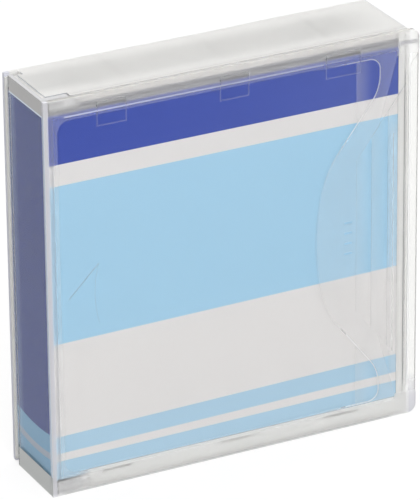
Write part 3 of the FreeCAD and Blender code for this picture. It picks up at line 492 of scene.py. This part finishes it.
# ---------------------------------------------------------------- the printed card
def card_front(tree, x, z):
    """The front leaf's bands, by height, read from the bottom: stripes, white, sky, white, header."""
    white, sky, stripe = srgb(240, 238, 237), srgb(178, 221, 247), srgb(188, 221, 242)
    from_fold = math_node(tree, "SUBTRACT", x, card_low.x)
    rightward = math_node(tree, "DIVIDE", from_fold, card_high.x - card_low.x, clamp=True)
    free_end = both(tree, rightward, rightward)
    header = mix_color(tree, free_end, srgb(70, 90, 182), srgb(90, 107, 186))

    def from_edge(height, climb):
        """1 above an edge, given by its height at the fold and how far it climbs to the free end."""
        return above(tree, math_node(tree, "SUBTRACT", z, both(tree, rightward, climb)), height)

    bands = ((9.6, 0.6, white), (11.9, 0.9, stripe), (16.8, 1.4, white),
             (43.8, 0.9, sky), (88.7, 0.4, white), (94.7, 0.3, header))
    front = layered(tree, stripe, [(from_edge(height, climb), tone) for height, climb, tone in bands])
    # painted haze: a pale grey over the print along the card's top edge, for the hazy shaded band there
    painted_top_band = above(tree, z, card_high.z - 0.7, 0.3)
    fold_shade = between(tree, from_fold, 1.0, 1.6, 0.25)
    return layered(tree, front, ((both(tree, painted_top_band, 0.25), srgb(196, 197, 204)),
                                 (both(tree, fold_shade, 0.5), (0.12, 0.13, 0.2))))


def card_spine(tree, y, z):
    """The spine leaf: navy over sky, and a pale line in the sky. Their edges bow up in the middle."""
    navy, sky, line = srgb(20, 42, 128), srgb(134, 180, 204), srgb(186, 188, 192)
    half = (card_high.y - card_low.y) / 2
    across = math_node(tree, "DIVIDE", math_node(tree, "SUBTRACT", y, card_low.y + half), half)
    bow = opposite(tree, both(tree, across, across))
    height = math_node(tree, "ADD", z, both(tree, bow, 0.9))
    back_end = above(tree, y, card_high.y - 3.5, 3)
    return layered(tree, sky, ((above(tree, height, 17.6), navy),
                               (between(tree, height, 10.2, 12.3, 0.2), line),
                               (both(tree, back_end, 0.3), srgb(190, 198, 215))))


def printed_card():
    """Coated card, printed on its outer side and plain paper on its inner side."""
    material, tree, shader = new_material("printed_card")
    x, y, z = object_axes(tree)
    on_spine = below(tree, x, card_low.x + CARD_WALL + 0.05)
    inner_x, inner_y = card_low.x + CARD_WALL - 0.01, card_low.y + CARD_WALL - 0.01
    inner_side = both(tree, above(tree, x, inner_x, 0.002), above(tree, y, inner_y, 0.002))
    fibre = noise(tree, 900, 4, 0.6)
    paper = mix_color(tree, fibre, srgb(232, 231, 226), srgb(240, 239, 235))
    color = layered(tree, card_front(tree, x, z), ((on_spine, card_spine(tree, y, z)),
                                                   (inner_side, paper)))
    tree.links.new(color, shader.inputs["Base Color"])
    shader.inputs["Roughness"].default_value = 0.5
    shader.inputs["Specular IOR Level"].default_value = 0.05
    grain = noise(tree, 2600, 3)
    bump(tree, shader, grain, 0.015, 0.1 * MM)
    return material


# ---------------------------------------------------------------- what lies inside the cartridge
def moulded(name, color, rough, grain_size=0.35, grain=0.25, cloud=0.06):
    """Moulded plastic: a spark-eroded grain, and a gloss that varies a little over the surface."""
    material, tree, shader = new_material(name)
    speck = noise(tree, 1 / (grain_size * MM), 3)
    patches = noise(tree, 45, 3)
    tone = mix_color(tree, patches, tinted(color, 1 - cloud), tinted(color, 1 + cloud))
    tone = mix_color(tree, both(tree, speck, 0.25), tone, tinted(color, 0.8))
    tree.links.new(tone, shader.inputs["Base Color"])
    shine = weighted(tree, rough - 0.06, ((patches, 0.12),))
    tree.links.new(shine, shader.inputs["Roughness"])
    bump(tree, shader, speck, grain, 0.03 * MM)
    return material


def metal(name, color, rough, scratch_size=0.12):
    """Drawn or turned steel, with fine marks along y."""
    material, tree, shader = new_material(name)
    stretch = tree.nodes.new("ShaderNodeMapping")
    stretch.inputs["Scale"].default_value = (1, 0.08, 1)
    tree.links.new(object_place(tree), stretch.inputs["Vector"])
    marks = noise(tree, 1 / (scratch_size * MM), 4, 0.7, stretch.outputs["Vector"])
    stain = noise(tree, 120, 3)
    tone = mix_color(tree, marks, tinted(color, 0.85), tinted(color, 1.1))
    tone = mix_color(tree, both(tree, stain, 0.3), tone, tinted(color, 0.8))
    tree.links.new(tone, shader.inputs["Base Color"])
    shader.inputs["Metallic"].default_value = 1.0
    shine = weighted(tree, rough - 0.08, ((marks, 0.16),))
    tree.links.new(shine, shader.inputs["Roughness"])
    bump(tree, shader, marks, 0.15, 0.01 * MM)
    return material


def wound_tape():
    """Dark coated film. On the wound pack's flat sides its turns show as fine rings."""
    material, tree, shader = new_material("recording_tape")
    x, _, z = object_axes(tree)
    pack_low, pack_high = box_mm("tape_pack")
    middle = (pack_low + pack_high) / 2
    out_x = math_node(tree, "SUBTRACT", x, middle.x)
    out_z = math_node(tree, "SUBTRACT", z, middle.z)
    squares = math_node(tree, "ADD", both(tree, out_x, out_x), both(tree, out_z, out_z))
    place = tree.nodes.new("ShaderNodeCombineXYZ")
    tree.links.new(math_node(tree, "SQRT", squares), place.inputs["X"])
    ring_size = 0.18
    turns = noise(tree, 1 / ring_size, 4, 0.8, place.outputs["Vector"])
    tone = mix_color(tree, turns, (0.012, 0.011, 0.011), (0.034, 0.030, 0.027))
    tree.links.new(tone, shader.inputs["Base Color"])
    tree.links.new(weighted(tree, 0.16, ((turns, 0.2),)), shader.inputs["Roughness"])
    bump(tree, shader, turns, 0.2, 0.01 * MM)
    return material


def circuit_board():
    """Green lacquer over fine copper tracks."""
    material, tree, shader = new_material("circuit_board")
    track_pitch = 2.2 * MM
    tracks = tree.nodes.new("ShaderNodeTexBrick")
    tracks.inputs["Scale"].default_value = 1 / track_pitch
    tracks.inputs["Mortar Size"].default_value = 0.05
    tracks.inputs["Color1"].default_value = (0.010, 0.115, 0.045, 1)
    tracks.inputs["Color2"].default_value = (0.012, 0.13, 0.05, 1)
    tracks.inputs["Mortar"].default_value = (0.05, 0.22, 0.07, 1)
    tree.links.new(object_place(tree), tracks.inputs["Vector"])
    tree.links.new(tracks.outputs["Color"], shader.inputs["Base Color"])
    shader.inputs["Roughness"].default_value = 0.28
    bump(tree, shader, tracks.outputs["Fac"], 0.3, 0.02 * MM)
    return material


# What makes each material, by the record's slot, or by node for the two halves of the case.
MATERIALS = {
    "case_lid": lid_plastic,
    "case_tray": tray_plastic,
    "printed_card": printed_card,
    "cartridge_shell": lambda: moulded("cartridge_shell", (0.115, 0.12, 0.135), rough=0.46),
    "plain_steel": lambda: metal("plain_steel", (0.6, 0.6, 0.61), rough=0.3),
    "spring_steel": lambda: metal("spring_steel", (0.45, 0.45, 0.47), rough=0.26, scratch_size=0.06),
    "reel_plastic": lambda: moulded("reel_plastic", (0.72, 0.75, 0.79), rough=0.3,
                                    grain_size=0.2, grain=0.08, cloud=0.03),
    "recording_tape": wound_tape,
    "small_plastic": lambda: moulded("small_plastic", (0.8, 0.8, 0.76), rough=0.4,
                                     grain_size=0.2, grain=0.1, cloud=0.03),
    "switch_plastic": lambda: moulded("switch_plastic", (0.58, 0.035, 0.02), rough=0.4,
                                      grain_size=0.25, grain=0.15),
    "circuit_board": circuit_board,
}


def dress_nodes():
    """Gives every node its material. Nodes with the same slot share one."""
    made = {}
    for entry in frame["record"]["subparts"]:
        name = entry["material_slot"]
        if name == "clear_case":
            name = entry["node"]
        if name not in made:
            made[name] = MATERIALS[name]()
        mesh = nodes[entry["node"]].data
        mesh.materials.clear()
        mesh.materials.append(made[name])


# ---------------------------------------------------------------- floor and light
def seen_white(tree, gloss_share):
    """1 for rays from the camera's view, straight or through glass, and a share of it in reflections."""
    path = tree.nodes.new("ShaderNodeLightPath")
    glossy = both(tree, path.outputs["Is Glossy Ray"], gloss_share)
    return either(tree, path.outputs["Is Camera Ray"], path.outputs["Is Transmission Ray"], glossy)


def add_floor():
    """A pale floor that looks white where nothing shades it."""
    bpy.ops.mesh.primitive_plane_add(size=6, location=(0, 0, 0))
    floor = bpy.context.object
    floor.name = "floor"
    material, tree, shader = new_material("floor")
    shader.inputs["Base Color"].default_value = (FLOOR_TONE, FLOOR_TONE, FLOOR_TONE, 1)
    shader.inputs["Roughness"].default_value = 0.9
    shader.inputs["Specular IOR Level"].default_value = 0
    shader.inputs["Emission Color"].default_value = (1, 1, 1, 1)
    short_of_white = 1.0 - FLOOR_TONE * SKY_LEVEL * FLOOR_SKY_SHARE
    lift = both(tree, seen_white(tree, GLOSS_SHARE), short_of_white)
    tree.links.new(lift, shader.inputs["Emission Strength"])
    floor.data.materials.append(material)


def add_sky():
    """A white sky, weaker from the spine's side, which looks exactly white to the camera."""
    world = bpy.data.worlds.new("world")
    bpy.context.scene.world = world
    world.use_nodes = True
    tree = world.node_tree
    background = tree.nodes["Background"]
    background.inputs["Color"].default_value = (1, 1, 1, 1)
    toward_x, _, _ = split(tree, tree.nodes.new("ShaderNodeTexCoord").outputs["Generated"])
    to_left = math_node(tree, "MULTIPLY", toward_x, -1.0, clamp=True)
    light = math_node(tree, "SUBTRACT", SKY_LEVEL, both(tree, to_left, LEFT_SHADE))
    level = either(tree, light, seen_white(tree, 0.0))
    tree.links.new(level, background.inputs["Strength"])


def add_lamp(name, spot, target, side, power):
    """A square area lamp at spot, turned to target."""
    data = bpy.data.lights.new(name, "AREA")
    data.shape = "SQUARE"
    data.size = side
    data.energy = power
    lamp = bpy.data.objects.new(name, data)
    bpy.context.scene.collection.objects.link(lamp)
    lamp.location = spot
    lamp.rotation_euler = (Vector(target) - Vector(spot)).to_track_quat("-Z", "Y").to_euler()


add_camera()
dress_nodes()
add_floor()
add_sky()
add_lamp("front", spot=(-0.35, -1.0, 0.75), target=(0, 0, 0.05), side=0.9, power=7.0)

scene = bpy.context.scene
scene.view_settings.view_transform = "Standard"
